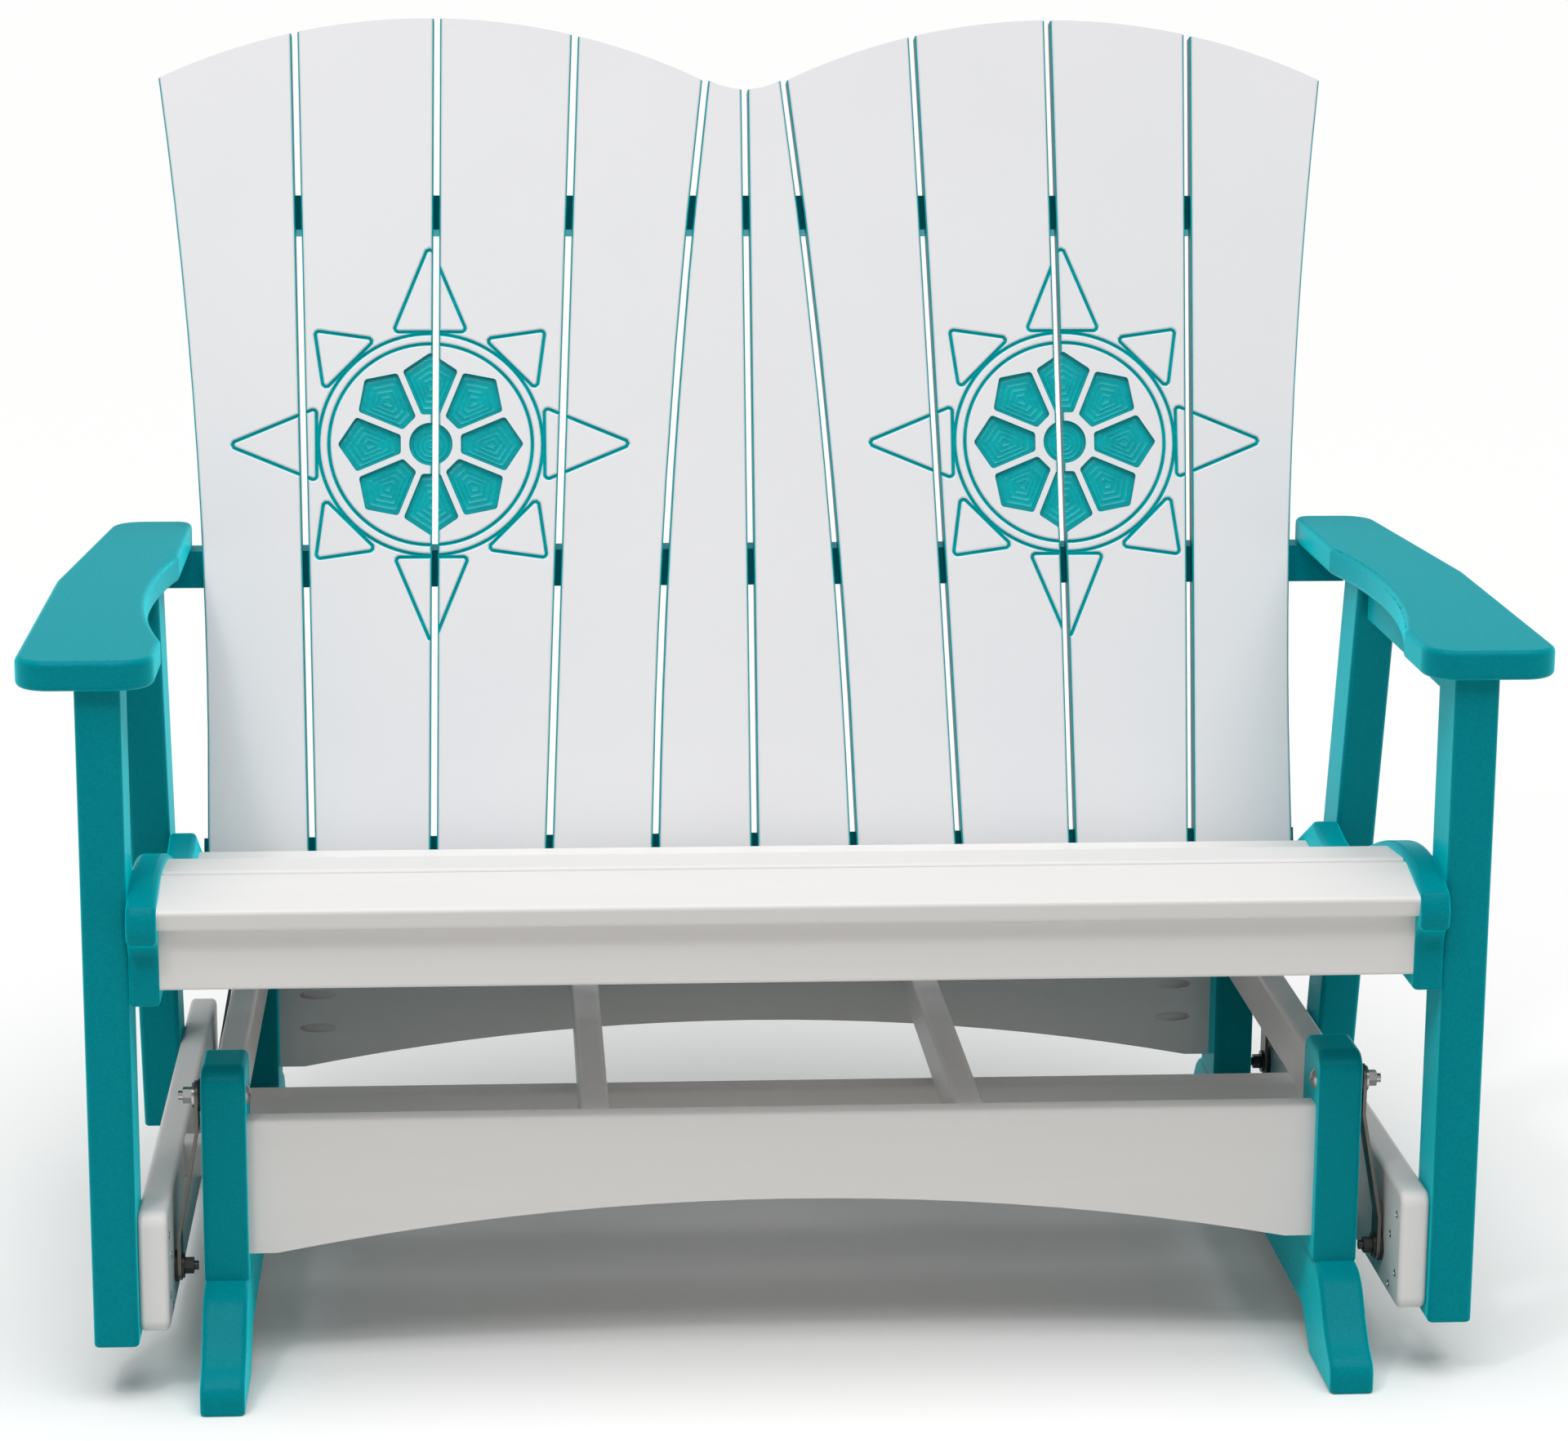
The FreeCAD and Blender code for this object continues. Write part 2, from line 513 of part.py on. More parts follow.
def rear_leg():
    """Leaning board from the foot of the rail up to the arm."""
    slope = (LEG_TOP_Y - LEG_FOOT_Y) / (ARM_BOTTOM - LEG_BOTTOM)
    half = POST_SECTION / 2 * math.sqrt(1 + slope ** 2)
    corners = ((LEG_FOOT_Y - half, LEG_BOTTOM), (LEG_FOOT_Y + half, LEG_BOTTOM),
               (LEG_TOP_Y + half, ARM_BOTTOM), (LEG_TOP_Y - half, ARM_BOTTOM))
    leg = plate([(V(RAIL_OUT, y, z), 0) for y, z in corners], V(ARM_POST_THICK, 0, 0))
    leg = soften(leg, EDGE_ROUND, lambda edge: edge.Length > POST_SECTION * 2)
    return soften(leg, END_ROUND, lambda edge: on_plane(edge, 2, LEG_BOTTOM))


def arm():
    """Flat arm with round ends and a hollow in its inner edge."""
    z = ARM_BOTTOM
    waist_mid = (ARM_WAIST_FRONT + ARM_WAIST_REAR) / 2
    corner = ARM_CORNER
    inner_rear = ARM_IN + ARM_WAIST / 2
    front_out, rear_out = V(ARM_OUT, ARM_FRONT, z), V(ARM_REAR_OUT, ARM_REAR, z)
    outline = [(V(ARM_IN, ARM_FRONT, z), corner), (front_out, corner), (V(ARM_OUT, ARM_TAPER_Y, z), 0),
               (rear_out, corner), (V(inner_rear, ARM_REAR, z), corner / 2),
               (V(inner_rear, ARM_WAIST_REAR, z), 0), (V(ARM_IN, ARM_WAIST_FRONT, z), 0)]
    board = plate(outline, V(0, 0, ARM_THICK))
    start, end = V(ARM_IN, ARM_WAIST_FRONT, z), V(inner_rear, ARM_WAIST_REAR, z)
    hollow = Part.Arc(start, V(ARM_IN + ARM_WAIST, waist_mid, z), end).toShape()
    chord = Part.LineSegment(end, start).toShape()
    board = board.cut(Part.Face(Part.Wire([hollow, chord])).extrude(V(0, 0, ARM_THICK)))
    return soften(board, EDGE_ROUND, lambda edge: on_plane(edge, 2, ARM_BOTTOM, ARM_TOP))


def arms_and_legs():
    save_pair("glide_rail", glide_rail())
    cross_top = RAIL_TOP - CROSS_DROP
    for name, y in (("front_cross_rail", CROSS_FRONT_Y), ("middle_cross_rail", CROSS_MID_Y)):
        save(name, lumber(-RAIL_IN, RAIL_IN, y, y + CROSS_THICK, cross_top - CROSS_HEIGHT, cross_top, 0))
    post_out = RAIL_OUT + ARM_POST_THICK
    post_rear = ARM_POST_FRONT + POST_SECTION
    arm_post = lumber(RAIL_OUT, post_out, ARM_POST_FRONT, post_rear, ARM_POST_BOTTOM, ARM_BOTTOM, 2)
    save_pair("front_arm_post", soften(arm_post, END_ROUND, lambda edge: on_plane(edge, 2, ARM_POST_BOTTOM)))
    save_pair("rear_leg", rear_leg())
    save_pair("arm", arm())
    lean = (LEG_FOOT_Y - LEG_TOP_Y) / (ARM_BOTTOM - LEG_BOTTOM)
    leg_front = LEG_TOP_Y - POST_SECTION / 2 * math.sqrt(1 + lean ** 2)
    middle = (RAIL_OUT + post_out - CLEAT_THICK) / 2
    save_pair("arm_cleat", lumber(middle, middle + CLEAT_THICK, post_rear, leg_front,
                                  ARM_BOTTOM - CLEAT_HEIGHT, ARM_BOTTOM, 1, EDGE_ROUND / 2))


# Seat

def seat_line(lift, rear=(SEAT_REAR_Y, SEAT_REAR_Z)):
    """Side view of the seat: a smooth curve over the nose, the crest and the fall to the rear."""
    curve = Part.BSplineCurve()
    curve.interpolate(side_points((SEAT_NOSE_Y, SEAT_NOSE_Z + lift), (SEAT_CREST_Y, SEAT_CREST_Z + lift),
                                  (SEAT_FALL_Y, SEAT_FALL_Z + lift), (rear[0], rear[1] + lift)))
    return curve


def seat_end():
    """Contoured board at each end of the seat, with a nose over the front rail."""
    curve = seat_line(SEAT_LIP, (SEAT_END_HUMP_Y, SEAT_REAR_Z + SEAT_END_HUMP - SEAT_LIP))
    start, end = curve.value(curve.FirstParameter), curve.value(curve.LastParameter)
    nose_low = start.z - NOSE_HEIGHT
    throat = nose_low - NOSE_UNDERCUT
    brow = (start.y + NOSE_Y) / 2
    nose = Part.Arc(start, V(0, NOSE_Y, start.z - NOSE_HEIGHT / 2), V(0, brow, nose_low)).toShape()
    hollow = tangent_arcs([V(0, SEAT_END_FRONT_Y, throat), V(0, brow, nose_low)], V(0, 0, 1))
    corners = side_points((SEAT_END_FRONT_Y, throat), (SEAT_END_FRONT_Y, SEAT_END_BOTTOM),
                          (SEAT_END_HEEL_Y, SEAT_END_BOTTOM), (SEAT_FALL_Y, SEAT_FALL_Z - SEAT_END_DEPTH),
                          (SEAT_END_REAR_Y, SEAT_REAR_Z - SEAT_END_DEPTH),
                          (SEAT_END_REAR_Y, BACK_Z - SEAT_END_TAIL_DROP), (end.y, end.z))
    edges = [Part.LineSegment(corners[i], corners[i + 1]).toShape() for i in range(len(corners) - 1)]
    face = Part.Face(Part.Wire(Part.__sortEdges__(edges + hollow + [nose, curve.toShape()])))
    face.translate(V(SEAT_IN, 0, 0))
    board = face.extrude(V(SEAT_END_THICK, 0, 0))
    for corner, radius in ((start, NOSE_ROUND), (end, HUMP_ROUND)):
        board = soften(board, radius, lambda edge: on_plane(edge, 1, corner.y)
                       and on_plane(edge, 2, corner.z))
    board = soften(board, EDGE_ROUND, lambda edge: on_plane(edge, 0, SEAT_IN, RAIL_OUT)
                   and edge.BoundBox.ZMax > throat + CUT_MARGIN and edge.BoundBox.YMin < SEAT_END_HUMP_Y)
    return soften(board, END_ROUND, lambda edge: on_plane(edge, 0, SEAT_IN, RAIL_OUT)
                  and edge.BoundBox.ZMax < throat + CUT_MARGIN and edge.BoundBox.YMax < SEAT_FALL_Y)


def seat_support(slats):
    """Contoured bearer under the slats, notched for them, from the front rail to the back."""
    curve = seat_line(-SLAT_THICK)
    front = FRONT_RAIL_Y + FRONT_RAIL_THICK
    low_front = FRONT_RAIL_BOTTOM
    low_rear = SEAT_REAR_Z - SLAT_THICK - SUPPORT_DEPTH
    under = [V(0, front, low_front), V(0, SEAT_REAR_Y, low_rear), V(0, SEAT_REAR_Y, SEAT_CREST_Z),
             V(0, front, SEAT_CREST_Z)]
    blank = Part.Face(Part.makePolygon(under + [under[0]])).extrude(V(SUPPORT_THICK, 0, 0))
    start, end = curve.value(curve.FirstParameter), curve.value(curve.LastParameter)
    above = [end, V(0, end.y, SEAT_CREST_Z + SLAT_THICK), V(0, start.y, SEAT_CREST_Z + SLAT_THICK), start]
    edges = [curve.toShape()] + [Part.LineSegment(above[i], above[i + 1]).toShape() for i in range(3)]
    waste = Part.Face(Part.Wire(Part.__sortEdges__(edges))).extrude(V(SUPPORT_THICK, 0, 0))
    board = blank.cut(waste)
    board.translate(V(SUPPORT_X - SUPPORT_THICK / 2, 0, 0))
    return board.cut(slats)


def seat_slats():
    """Slats laid along the seat line, edge to edge with a gap."""
    curve = seat_line(0)
    length = curve.length()
    pitch = SLAT_WIDTH + SLAT_GAP
    slats = []
    for k in range(int((length + SLAT_GAP) / pitch)):
        t = curve.parameterAtDistance((k + 0.5) * pitch - SLAT_GAP / 2)
        along = curve.tangent(t)[0]
        down = V(0, along.z, -along.y)
        centre = curve.value(t)
        corners = [centre - along * (SLAT_WIDTH / 2), centre + along * (SLAT_WIDTH / 2)]
        corners += [point + down * SLAT_THICK for point in reversed(corners)]
        slat = plate([(point + V(-SEAT_IN, 0, 0), SLAT_ROUND) for point in corners], V(2 * SEAT_IN, 0, 0))
        slats.append(slat)
    return slats


def seat():
    slats = seat_slats()
    save_pair("seat_end", seat_end())
    save_pair("seat_support", seat_support(slats))
    front_rail = lumber(-SEAT_IN, SEAT_IN, FRONT_RAIL_Y, FRONT_RAIL_Y + FRONT_RAIL_THICK,
                        FRONT_RAIL_BOTTOM, SEAT_NOSE_Z, 0, FRONT_RAIL_ROUND)
    save("seat_front_rail", front_rail.cut(slats[0]))
    for number, slat in enumerate(slats, 1):
        save("seat_slat_%d" % number, slat)


# Fan back

def on_back(u, v, behind=0.0):
    """Point of the back: across, up the slope, and behind the front face."""
    return V(u, BACK_Y, BACK_Z) + BACK_UP * v + BACK_OUT * behind


def back_board(edges):
    return Part.Face(Part.Wire(Part.__sortEdges__(edges))).extrude(BACK_OUT * BACK_THICK)


def fan_panel():
    """Right-hand fan, before it is sawn into slats."""
    outer = curve_through(on_back(OUTER_U_LOW, BACK_WAIST_V), on_back(OUTER_U_MID, OUTER_V_MID),
                          on_back(OUTER_U_TOP, OUTER_V_TOP))
    inner = curve_through(on_back(INNER_U_LOW, BACK_WAIST_V), on_back(INNER_U_MID, INNER_V_MID),
                          on_back(INNER_U_TOP, INNER_V_TOP))
    top = Part.Arc(on_back(INNER_U_TOP, INNER_V_TOP), on_back(FAN_APEX_U, FAN_APEX_V),
                   on_back(OUTER_U_TOP, OUTER_V_TOP)).toShape()
    low = [on_back(INNER_U_LOW, BACK_WAIST_V), on_back(INNER_U_LOW, BACK_BOTTOM),
           on_back(OUTER_U_LOW, BACK_BOTTOM), on_back(OUTER_U_LOW, BACK_WAIST_V)]
    tail = [Part.LineSegment(low[i], low[i + 1]).toShape() for i in range(3)]
    return back_board([outer, inner, top] + tail)


def saw_cut(u_top, u_low):
    """Gap between two slats, from below the slats to above them."""
    rise = FAN_APEX_V - BACK_WAIST_V
    slope = (u_top - u_low) / rise
    low_v, top_v = BACK_BOTTOM - BACK_GAP, FAN_APEX_V + BACK_GAP
    half = BACK_GAP / 2
    corners = [on_back(u_low + slope * (v - BACK_WAIST_V) + side * half, v, -CUT_MARGIN)
               for v, side in ((low_v, -1), (low_v, 1), (top_v, 1), (top_v, -1))]
    through = BACK_OUT * (BACK_THICK + 2 * CUT_MARGIN)
    return Part.Face(Part.makePolygon(corners + [corners[0]])).extrude(through)


def centre_slat():
    """Right-hand one of the two narrow slats between the fans."""
    half = BACK_GAP / 2
    top_u, mid_u, low_u = (u - BACK_GAP for u in (INNER_U_TOP, INNER_U_MID, INNER_U_LOW))
    outer = curve_through(on_back(low_u, BACK_WAIST_V), on_back(mid_u, INNER_V_MID),
                          on_back(top_u, INNER_V_TOP))
    points = [on_back(low_u, BACK_WAIST_V), on_back(low_u, BACK_BOTTOM), on_back(half, BACK_BOTTOM),
              on_back(half, VALLEY_V)]
    edges = [Part.LineSegment(points[i], points[i + 1]).toShape() for i in range(3)]
    rise = INNER_V_TOP - VALLEY_V
    valley = Part.Arc(on_back(half, VALLEY_V), on_back((half + top_u) / 2, VALLEY_V + rise * VALLEY_SAG),
                      on_back(top_u, INNER_V_TOP)).toShape()
    return back_board(edges + [valley, outer])


def back_rail(half, centre_v, height, depth):
    """Rail across the back of the slats."""
    low, top = centre_v - height / 2, centre_v + height / 2
    corners = [on_back(-half, low, BACK_THICK), on_back(-half, top, BACK_THICK),
               on_back(-half, top, BACK_THICK + depth), on_back(-half, low, BACK_THICK + depth)]
    return plate([(corners[0], 0), (corners[1], 0), (corners[2], EDGE_ROUND), (corners[3], EDGE_ROUND)],
                 V(2 * half, 0, 0))


def arm_rail():
    """Lower back rail: level under the arms, with its front face on the slope of the slats."""
    half = ARM_REAR_OUT - LOWER_RAIL_END
    top, low = ARM_BOTTOM, ARM_BOTTOM - BACK_RAIL_HEIGHT
    front = [BACK_Y + (z - BACK_Z) * math.tan(LEAN) + BACK_THICK / math.cos(LEAN) for z in (low, top)]
    rear = front[1] + BACK_RAIL_DEPTH
    corners = [(V(-half, front[0], low), 0), (V(-half, front[1], top), 0), (V(-half, rear, top), EDGE_ROUND),
               (V(-half, rear, low), EDGE_ROUND)]
    return plate(corners, V(2 * half, 0, 0))


def back():
    slats = [fan_panel()]
    for count in range(1, len(FAN_WIDTHS_TOP) + 1):
        cut = saw_cut(OUTER_U_TOP - sum(FAN_WIDTHS_TOP[:count]), OUTER_U_LOW - sum(FAN_WIDTHS_LOW[:count]))
        slats = [solid for slat in slats for solid in slat.cut(cut).Solids]
    slats.sort(key=lambda slat: -slat.CenterOfMass.x)
    for number, slat in enumerate(slats, 1):
        save_pair("fan_slat_%d" % number, slat)
    save_pair("centre_slat", centre_slat())
    upper_half = OUTER_U_LOW + UPPER_RAIL_REACH
    save("upper_back_rail", back_rail(upper_half, UPPER_RAIL_V, BACK_RAIL_HEIGHT, BACK_RAIL_DEPTH))
    save("lower_back_rail", arm_rail())
    bottom_v = BACK_BOTTOM + BOTTOM_RAIL_HEIGHT / 2
    save("bottom_back_rail", back_rail(SEAT_IN, bottom_v, BOTTOM_RAIL_HEIGHT, BACK_RAIL_DEPTH))


base()
links_and_bolts()
arms_and_legs()
seat()
back()
pivots = (PIVOT_FRONT - ORIGIN_Y, PIVOT_REAR - ORIGIN_Y, PIVOT_Z, LOW_PIVOT_Z)
print("pivots: y %.3f %.3f  z %.3f %.3f" % pivots)
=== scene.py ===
import json
import math

import bmesh
import bpy
from mathutils import Matrix, Vector


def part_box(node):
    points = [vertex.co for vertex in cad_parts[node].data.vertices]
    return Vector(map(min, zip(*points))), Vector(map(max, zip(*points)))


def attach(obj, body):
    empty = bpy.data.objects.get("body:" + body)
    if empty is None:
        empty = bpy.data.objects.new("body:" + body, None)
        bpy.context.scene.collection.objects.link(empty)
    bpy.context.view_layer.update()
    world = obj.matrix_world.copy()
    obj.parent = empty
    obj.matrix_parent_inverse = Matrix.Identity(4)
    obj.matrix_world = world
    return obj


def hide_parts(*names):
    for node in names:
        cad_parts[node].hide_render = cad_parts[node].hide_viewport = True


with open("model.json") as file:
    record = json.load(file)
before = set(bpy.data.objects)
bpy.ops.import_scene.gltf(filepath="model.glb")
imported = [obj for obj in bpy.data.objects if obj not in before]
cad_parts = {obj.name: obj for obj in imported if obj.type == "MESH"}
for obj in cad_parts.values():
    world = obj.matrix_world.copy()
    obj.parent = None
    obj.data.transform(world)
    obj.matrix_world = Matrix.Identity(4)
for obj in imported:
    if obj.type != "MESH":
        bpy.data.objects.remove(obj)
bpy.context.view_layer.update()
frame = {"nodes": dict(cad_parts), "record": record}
nodes = frame["nodes"]

# Sizes are in metres, in the frame of the part: X across, Y to the rear, Z up.

# Back sheet
SKIN = 0.0012              # white skin on both faces of a teal core
EASED_EDGE = 0.0026        # bevel along the front sides of each slat, deep enough to bare the core
STEEP = 0.7                # edges of a slat that climb more than this are its sides
ROUTED_LIMIT = 0.3         # faces in the core that look this far along the depth were routed or eased; they take the brightened teal of painted light
SMOOTH_ANGLE = math.radians(32)
JOIN_DISTANCE = 1e-6       # corners of a CAD mesh that lie closer than this are one
FLAT_ANGLE = math.radians(0.5)   # facets that turn less than this are one face
FAN_SLATS = 4

# Rosette on each fan, routed into the sheet
MOTIF_U = 0.310            # its middle, from the middle plane of the bench
MOTIF_V = 0.450            # and up the slope of the back, from the lower ends of the slats
GROOVE_WIDTH = 0.0058
GROOVE_DEPTH = 0.0030
POCKET_DEPTH = 0.0040
CUTTER_RISE = 0.0010       # cutters stand this far in front of the sheet
CUTTER_PASSES = (0.80, 0.59, 0.38, 0.17)   # rounds of the cutter on the floor of a pocket, by size
RIDGE_HALF = 0.05          # half the width of the ridge that each round leaves, on the same scale
RIDGE_RISE = 0.0007
MITRE_LIMIT = 0.4          # sharp corners widen a groove by at most one over this
HUB_R = 0.021
PETALS = 8
PETAL_IN_R = 0.029
PETAL_OUT_R = 0.090
PETAL_SHOULDER = 0.80      # where a petal is widest, as a share of its outer radius
PETAL_RIB = 0.0055         # white rib left between two petals
RING_RADII = (0.0985, 0.1085)
RAY_ROOT_R = 0.116
LONG_RAY_R = 0.197
SHORT_RAY_R = 0.158
RAY_SHARE = 0.80           # width of a ray at its root, as a share of the room it has there
RING_STEPS = 96
CORNER_R = 0.0035
CORNER_STEPS = 4

# Screws in the inner faces of the rails
SCREW_PLACES = (           # back from the front end of the rail, and up from its lower edge
    (0.015, 0.084), (0.038, 0.058), (0.015, 0.030), (0.038, 0.012))
SCREW_PROFILE = (          # radius and rise, from the rim to the floor of the recess
    (0.0034, 0.0), (0.0034, 0.0005), (0.0026, 0.0009), (0.0015, 0.0010), (0.0012, 0.0002))
SCREW_STEPS = 18

# Steel
LINK_EDGE_LIMIT = 0.5      # faces of a strap that turn this far from X are its narrow edges, which take a brighter steel as a painted highlight
# Painted shade: these pieces sit in shade low in the base, and get a much darker steel than their slot.
PAINTED_SHADE_PIECES = ("lower_pivot_nuts", "lower_pivot_bolts")

# Colours
TEAL = (0.0, 0.222, 0.264)
TEAL_DARK = (0.0, 0.206, 0.245)
TEAL_LIGHT = (0.0, 0.238, 0.283)
TEAL_SHEEN = (0.0, 0.90, 1.0)
# Painted light: the routed core is far brighter than the sawn core, to lift the shade in the grooves and
# pockets.
PAINTED_LIGHT_POCKET_TEAL = (0.0, 0.410, 0.440)
PAINTED_LIGHT_POCKET_LOW = (0.0, 0.370, 0.400)
PAINTED_LIGHT_POCKET_HIGH = (0.0, 0.450, 0.480)
WHITE = (0.785, 0.766, 0.755)
WHITE_DARK = (0.775, 0.756, 0.745)
SKIN_WHITE = (0.86, 0.86, 0.88)
SKIN_SHADE = (0.845, 0.845, 0.87)
FLOOR_SEEN = (0.95, 0.95, 0.945)
FLOOR_BOUNCE = (0.72, 0.714, 0.69)
BLACK = (0.0, 0.0, 0.0)

# Textures, in cells per metre
TEAL_GRAIN_ALONG = 30.0
TEAL_GRAIN_ACROSS = 520.0
TEAL_MOTTLE = 430.0
WHITE_PEEL = 340.0
WHITE_STREAKS = (4.0, 60.0, 60.0)
SKIN_PEEL = 520.0
SKIN_CLOUDS = 5.0
SAW_MARKS = (300.0, 900.0, 60.0)
POCKET_CLOUDS = 60.0
POCKET_SWIRLS = 210.0

# Camera of the photograph
LENS = 93.75
SENSOR = 36.0
EYE = Vector((-0.244, -3.6792, 1.344))
YAW = math.radians(4.06)
PITCH = math.radians(12.74)
ROLL = math.radians(0.41)
VIEW_END = 100.0

# Stage
WORLD_LIGHT = 0.30
FLOOR_HALF = 60.0
BACKDROP_R = 50.0          # low screen all round, for cameras near the floor
BACKDROP_HEIGHT = 9.0
BACKDROP_SIDES = 96
CEILING_TILT = math.radians(14)
CEILING_TURN = math.radians(4)
CEILING_SOFTNESS = math.radians(60)
CEILING_STRENGTH = 2.4
KEY_PLACE = Vector((-1.3, -2.0, 3.0))
KEY_TARGET = Vector((0.0, 0.0, 0.5))
KEY_SIZE = 0.3
KEY_POWER = 12


def new_object(name, data):
    made = bpy.data.objects.new(name, data)
    bpy.context.scene.collection.objects.link(made)
    return made


def finished_object(name, mesh):
    """Object made of a bmesh, which is used up."""
    data = bpy.data.meshes.new(name)
    mesh.to_mesh(data)
    mesh.free()
    return new_object(name, data)


# Parts of a material

def shader_of(material):
    return material.node_tree.nodes["Principled BSDF"]


def new_material(name, colour, roughness, metallic=0.0, specular=0.5):
    material = bpy.data.materials.new(name)
    material.use_nodes = True
    shader = shader_of(material)
    shader.inputs["Base Color"].default_value = (*colour, 1.0)
    shader.inputs["Roughness"].default_value = roughness
    shader.inputs["Metallic"].default_value = metallic
    shader.inputs["Specular IOR Level"].default_value = specular
    return material


def even(cells):
    """The same scale along X, Y and Z."""
    return (cells, cells, cells)


def noise(material, scale, detail, roughness=0.5):
    """Noise texture in the frame of the part; scale holds the cells per metre along X, Y and Z."""
    tree = material.node_tree
    place = tree.nodes.new("ShaderNodeTexCoord")
    stretch = tree.nodes.new("ShaderNodeMapping")
    stretch.inputs["Scale"].default_value = scale
    texture = tree.nodes.new("ShaderNodeTexNoise")
    texture.inputs["Scale"].default_value = 1.0
    texture.inputs["Detail"].default_value = detail
    texture.inputs["Roughness"].default_value = roughness
    tree.links.new(place.outputs["Object"], stretch.inputs["Vector"])
    tree.links.new(stretch.outputs["Vector"], texture.inputs["Vector"])
    return texture.outputs["Fac"]


def tint(material, source, dark, light, low=0.35, high=0.65):
    """Base colour that runs from dark to light while the source runs from low to high."""
    tree = material.node_tree
    ramp = tree.nodes.new("ShaderNodeValToRGB")
    ramp.color_ramp.elements[0].position = low
    ramp.color_ramp.elements[1].position = high
    ramp.color_ramp.elements[0].color = (*dark, 1.0)
    ramp.color_ramp.elements[1].color = (*light, 1.0)
    tree.links.new(source, ramp.inputs["Fac"])
    tree.links.new(ramp.outputs["Color"], shader_of(material).inputs["Base Color"])


def bump(material, source, strength, height):
    tree = material.node_tree
    node = tree.nodes.new("ShaderNodeBump")
    node.inputs["Strength"].default_value = strength
    node.inputs["Distance"].default_value = height
    tree.links.new(source, node.inputs["Height"])
    tree.links.new(node.outputs["Normal"], shader_of(material).inputs["Normal"])


def vary(material, source, setting, low, high):
    """Setting of the shader that runs from low to high while the source runs from 0 to 1."""
    tree = material.node_tree
    span = tree.nodes.new("ShaderNodeMapRange")
    span.inputs["To Min"].default_value = low
    span.inputs["To Max"].default_value = high
    tree.links.new(source, span.inputs["Value"])
    tree.links.new(span.outputs["Result"], shader_of(material).inputs[setting])


def shown_rays(material):
    """1 for rays that look at a surface or mirror it, 0 for those that bring its light to the part."""
    tree = material.node_tree
    path = tree.nodes.new("ShaderNodeLightPath")
    shown = path.outputs["Is Camera Ray"]
    for ray in ("Is Glossy Ray", "Is Transmission Ray"):
        either = tree.nodes.new("ShaderNodeMath")
        either.operation = "MAXIMUM"
        tree.links.new(shown, either.inputs[0])
        tree.links.new(path.outputs[ray], either.inputs[1])
        shown = either.outputs["Value"]
    return shown


# Materials

def teal_board(run):
    """Teal poly lumber: a fine mottle, and a gloss that follows the grain along one axis."""
    material = new_material("teal_poly_" + "xyz"[run], TEAL, roughness=0.28, specular=0.04)
    grain_scale = [TEAL_GRAIN_ALONG if axis == run else TEAL_GRAIN_ACROSS for axis in range(3)]
    grain = noise(material, grain_scale, detail=4.0, roughness=0.55)
    mottle = noise(material, even(TEAL_MOTTLE), detail=2.0)
    tint(material, mottle, TEAL_DARK, TEAL_LIGHT)
    vary(material, grain, "Roughness", low=0.24, high=0.34)
    bump(material, mottle, strength=0.12, height=0.0004)
    shader = shader_of(material)
    shader.inputs["Sheen Weight"].default_value = 1.0
    shader.inputs["Sheen Roughness"].default_value = 0.5
    shader.inputs["Sheen Tint"].default_value = (*TEAL_SHEEN, 1.0)
    return material


def white_board():
    """White poly lumber, with faint streaks along X and a fine orange peel."""
    material = new_material("white_poly", WHITE, roughness=0.42, specular=0.3)
    peel = noise(material, even(WHITE_PEEL), detail=2.0)
    tint(material, noise(material, WHITE_STREAKS, detail=3.0), WHITE_DARK, WHITE)
    bump(material, peel, strength=0.06, height=0.0003)
    return material


def sheet_skin():
    """White face of the back sheet, with a fine orange peel."""
    material = new_material("back_sheet", SKIN_WHITE, roughness=0.40, specular=0.3)
    peel = noise(material, even(SKIN_PEEL), detail=2.0)
    tint(material, noise(material, even(SKIN_CLOUDS), detail=3.0), SKIN_SHADE, SKIN_WHITE)
    bump(material, peel, strength=0.10, height=0.0003)
    return material


def sheet_core():
    """Teal core of the back sheet where it was sawn, with the marks of the saw."""
    material = new_material("back_core", TEAL, roughness=0.40, specular=0.25)
    marks = noise(material, SAW_MARKS, detail=3.0)
    tint(material, marks, TEAL_DARK, TEAL)
    bump(material, marks, strength=0.15, height=0.0003)
    return material


def routed_core_painted_light():
    """Teal core of the back sheet where it was routed or eased, with the swirls of the cutter. Its teal is
    much brighter than the sawn core: painted light that lifts the shade inside the grooves and pockets.
    """
    material = new_material("back_pocket_painted_light", PAINTED_LIGHT_POCKET_TEAL, roughness=0.26, specular=0.20)
    tree = material.node_tree
    place = tree.nodes.new("ShaderNodeTexCoord")
    swirls = tree.nodes.new("ShaderNodeTexVoronoi")
    swirls.feature = "SMOOTH_F1"
    swirls.inputs["Scale"].default_value = POCKET_SWIRLS
    swirls.inputs["Smoothness"].default_value = 0.35
    tree.links.new(place.outputs["Object"], swirls.inputs["Vector"])
    clouds = noise(material, even(POCKET_CLOUDS), detail=2.0)
    tint(material, clouds, PAINTED_LIGHT_POCKET_LOW, PAINTED_LIGHT_POCKET_HIGH, low=0.30, high=0.72)
    vary(material, swirls.outputs["Distance"], "Roughness", low=0.20, high=0.40)
    bump(material, swirls.outputs["Distance"], strength=0.30, height=0.0010)
    return material


def floor_paper():
    """White floor that throws less light on the part from below than its colour would."""
    material = new_material("floor", FLOOR_SEEN, roughness=0.9, specular=0.0)
    tint(material, shown_rays(material), FLOOR_BOUNCE, FLOOR_SEEN, low=0.0, high=1.0)
    return material


def backdrop_paper():
    """White screen that throws no more light on the part than the world behind it."""
    material = new_material("backdrop", BLACK, roughness=0.9, specular=0.0)
    material.cycles.emission_sampling = "NONE"   # it is a background, not a lamp
    shader_of(material).inputs["Emission Color"].default_value = (1.0, 1.0, 1.0, 1.0)
    vary(material, shown_rays(material), "Emission Strength", low=WORLD_LIGHT, high=1.0)
    return material


